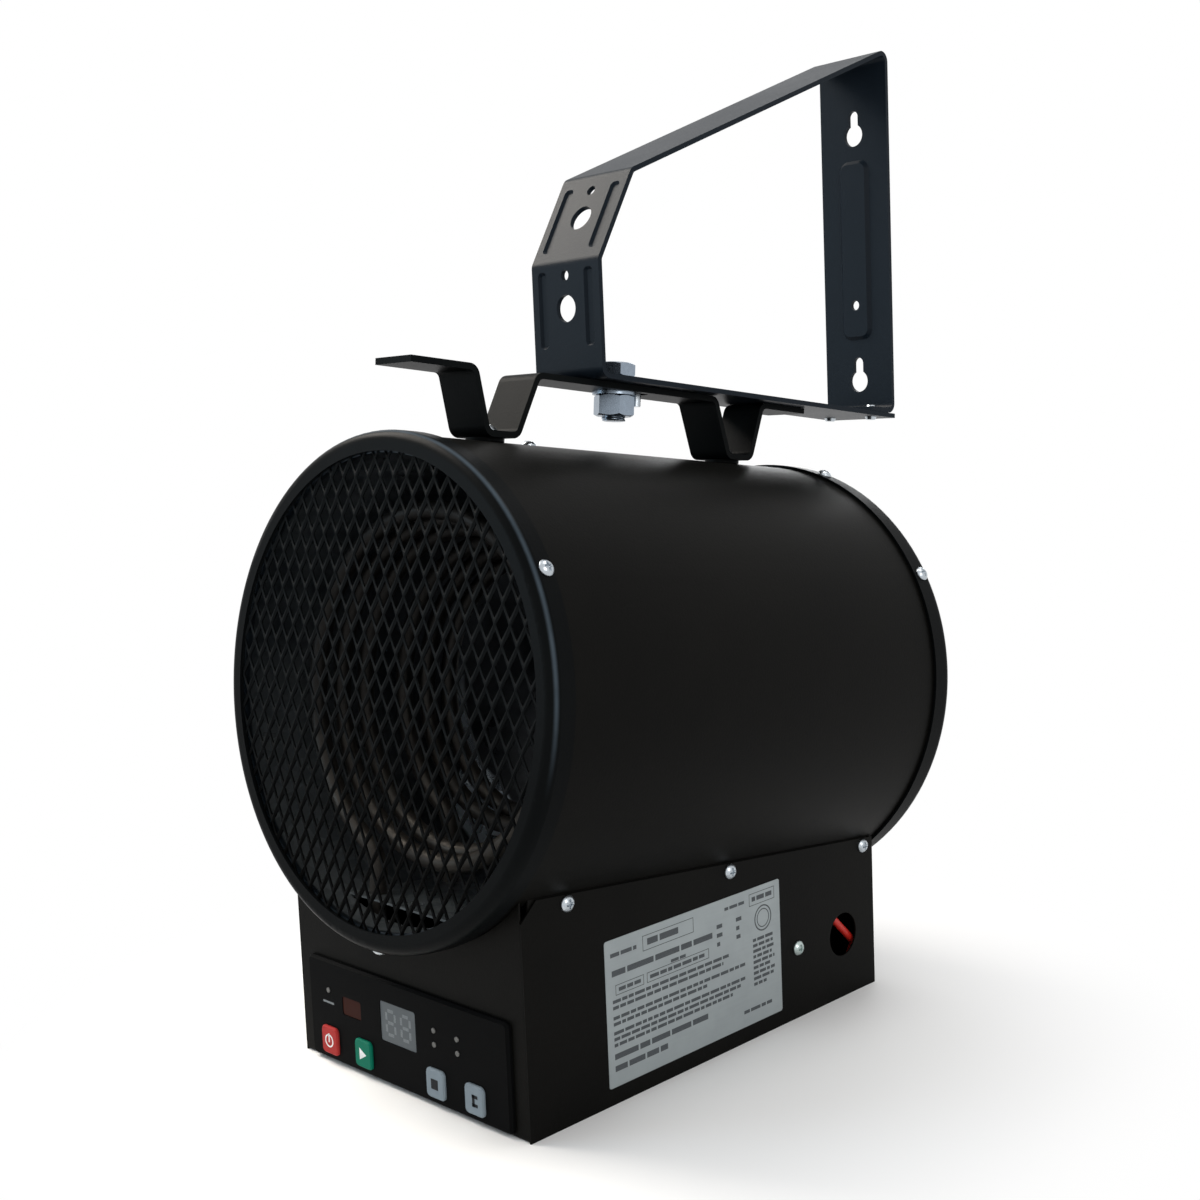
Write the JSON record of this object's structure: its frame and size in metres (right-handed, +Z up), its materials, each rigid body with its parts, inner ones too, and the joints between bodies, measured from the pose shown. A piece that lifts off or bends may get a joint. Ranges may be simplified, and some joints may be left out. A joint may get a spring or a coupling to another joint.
{
  "type": "garage heater",
  "caption": "Round-barrelled electric fan heater with a control box below and a looped wall bracket that swivels on a strap above.",
  "frame": {"origin": "centre of the control box's flat underside", "axes": "+Z up, -Y towards the front mesh, +X towards the cable entry's side"},
  "size_m": [0.2286, 0.3799, 0.5012],
  "materials": {
    "black_coat": "satin powder coat",
    "galvanised": "galvanised",
    "bright_zinc": "bright zinc",
    "green_zinc": "satin",
    "element_sheath": "oxidised",
    "motor_paint": "satin",
    "fan_aluminium": "mill",
    "panel_plastic": "matte",
    "button_red": "satin",
    "button_green": "satin",
    "button_grey": "satin",
    "display_pane": "gloss",
    "receiver_pane": "gloss",
    "lamp_lens": "gloss",
    "board_laminate": "satin",
    "black_plastic": "matte",
    "red_insulation": "satin"
  },
  "bodies": {
    "heater": {"barrel_wrapper": "black_coat", "bezel_screws": "bright_zinc", "control_board": "board_laminate", "control_chassis": "black_coat", "control_fascia": "panel_plastic", "display_window": "display_pane", "element_plate": "galvanised", "fan_motor": "motor_paint", "front_bezel": "black_coat", "front_mesh": "black_coat", "ground_screw": "green_zinc", "hanging_strap": "black_coat", "indicator_lamps": "lamp_lens", "inner_element": "element_sheath", "inner_liner": "galvanised", "limit_thermostat": "black_plastic", "liner_screw": "bright_zinc", "lower_washer": "bright_zinc", "motor_bar": "galvanised", "motor_screws": "bright_zinc", "outer_element": "element_sheath", "pivot_bolt": "bright_zinc", "pivot_nut": "bright_zinc", "power_relay": "black_plastic", "rear_guard": "black_coat", "rear_ring": "black_coat", "rear_screws": "bright_zinc", "receiver_window": "receiver_pane", "side_panel_left": "black_coat", "side_panel_right": "black_coat", "side_screws": "bright_zinc", "strap_nuts": "bright_zinc", "strap_screws": "bright_zinc", "strap_spacers": "black_coat", "supply_lead": "red_insulation", "terminal_block": "black_plastic", "upper_washer": "bright_zinc"},
    "bracket": {"wall_bracket": "black_coat", "bracket_rivets": "galvanised", "lock_screw": "bright_zinc"},
    "fan": {"fan_blade": "fan_aluminium", "fan_shaft": "bright_zinc"},
    "button_red_body": {"button_red": "button_red"},
    "button_green_body": {"button_green": "button_green"},
    "button_mode_body": {"button_mode": "button_grey"},
    "button_timer_body": {"button_timer": "button_grey"}
  },
  "joints": [
    {"name": "bracket_swivel", "type": "hinge", "parent": "heater", "child": "bracket", "pos_m": [0, 0.0273, 0.31552], "axis": [0, 0.1011, 0.9949], "range_deg": [-20, 20]},
    {"name": "fan_spin", "type": "hinge", "parent": "heater", "child": "fan", "pos_m": [0, 0.0535, 0.16575], "axis": [0, 0.9949, -0.1011], "continuous": true},
    {"name": "button_red_press", "type": "slide", "parent": "heater", "child": "button_red_body", "axis": [0, 1, 0], "range_m": [0, 0.0006], "stiffness_N_per_m": 1500},
    {"name": "button_green_press", "type": "slide", "parent": "heater", "child": "button_green_body", "axis": [0, 1, 0], "range_m": [0, 0.0006], "stiffness_N_per_m": 1500},
    {"name": "button_mode_press", "type": "slide", "parent": "heater", "child": "button_mode_body", "axis": [0, 1, 0], "range_m": [0, 0.0006], "stiffness_N_per_m": 1500},
    {"name": "button_timer_press", "type": "slide", "parent": "heater", "child": "button_timer_body", "axis": [0, 1, 0], "range_m": [0, 0.0006], "stiffness_N_per_m": 1500}
  ]
}
